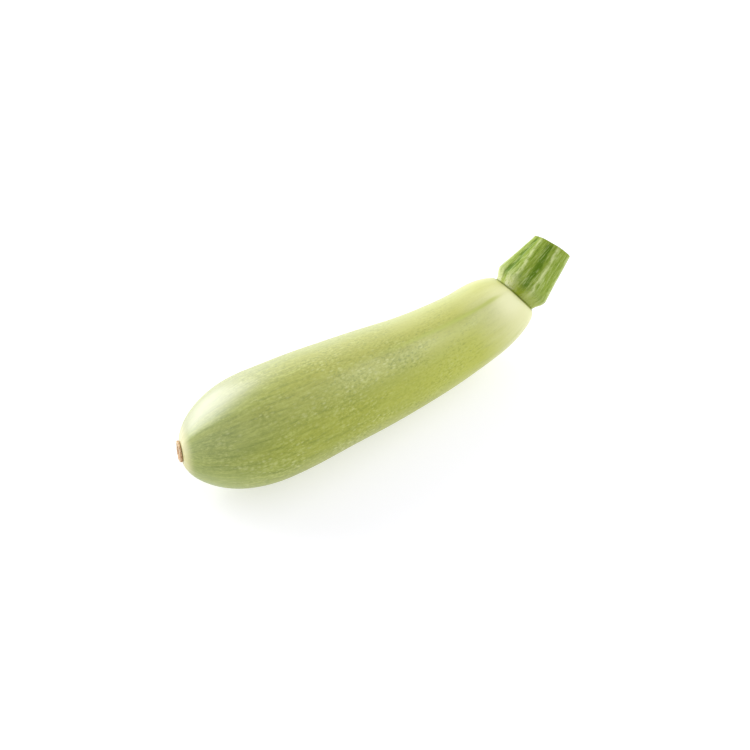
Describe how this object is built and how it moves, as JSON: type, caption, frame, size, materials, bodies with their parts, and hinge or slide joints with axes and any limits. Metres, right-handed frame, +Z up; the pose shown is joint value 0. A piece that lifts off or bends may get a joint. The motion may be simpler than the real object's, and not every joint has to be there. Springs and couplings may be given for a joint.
{
  "type": "zucchini",
  "caption": "Light green zucchini lying on its side, with a gently curved tapering body, a pale neck, a cut ridged stem and a small dry blossom scar.",
  "frame": {"origin": "on the floor, under the middle of the whole zucchini's box", "axes": "+X along the fruit from the blossom end to the stem end, +Z up as it lies"},
  "size_m": [0.209, 0.0608, 0.0504],
  "materials": {
    "fruit_skin": "satin",
    "peduncle_rind": "satin",
    "scar_cork": "matte"
  },
  "bodies": {
    "root": {"fruit": "fruit_skin", "peduncle": "peduncle_rind", "blossom_scar": "scar_cork"}
  },
  "joints": []
}
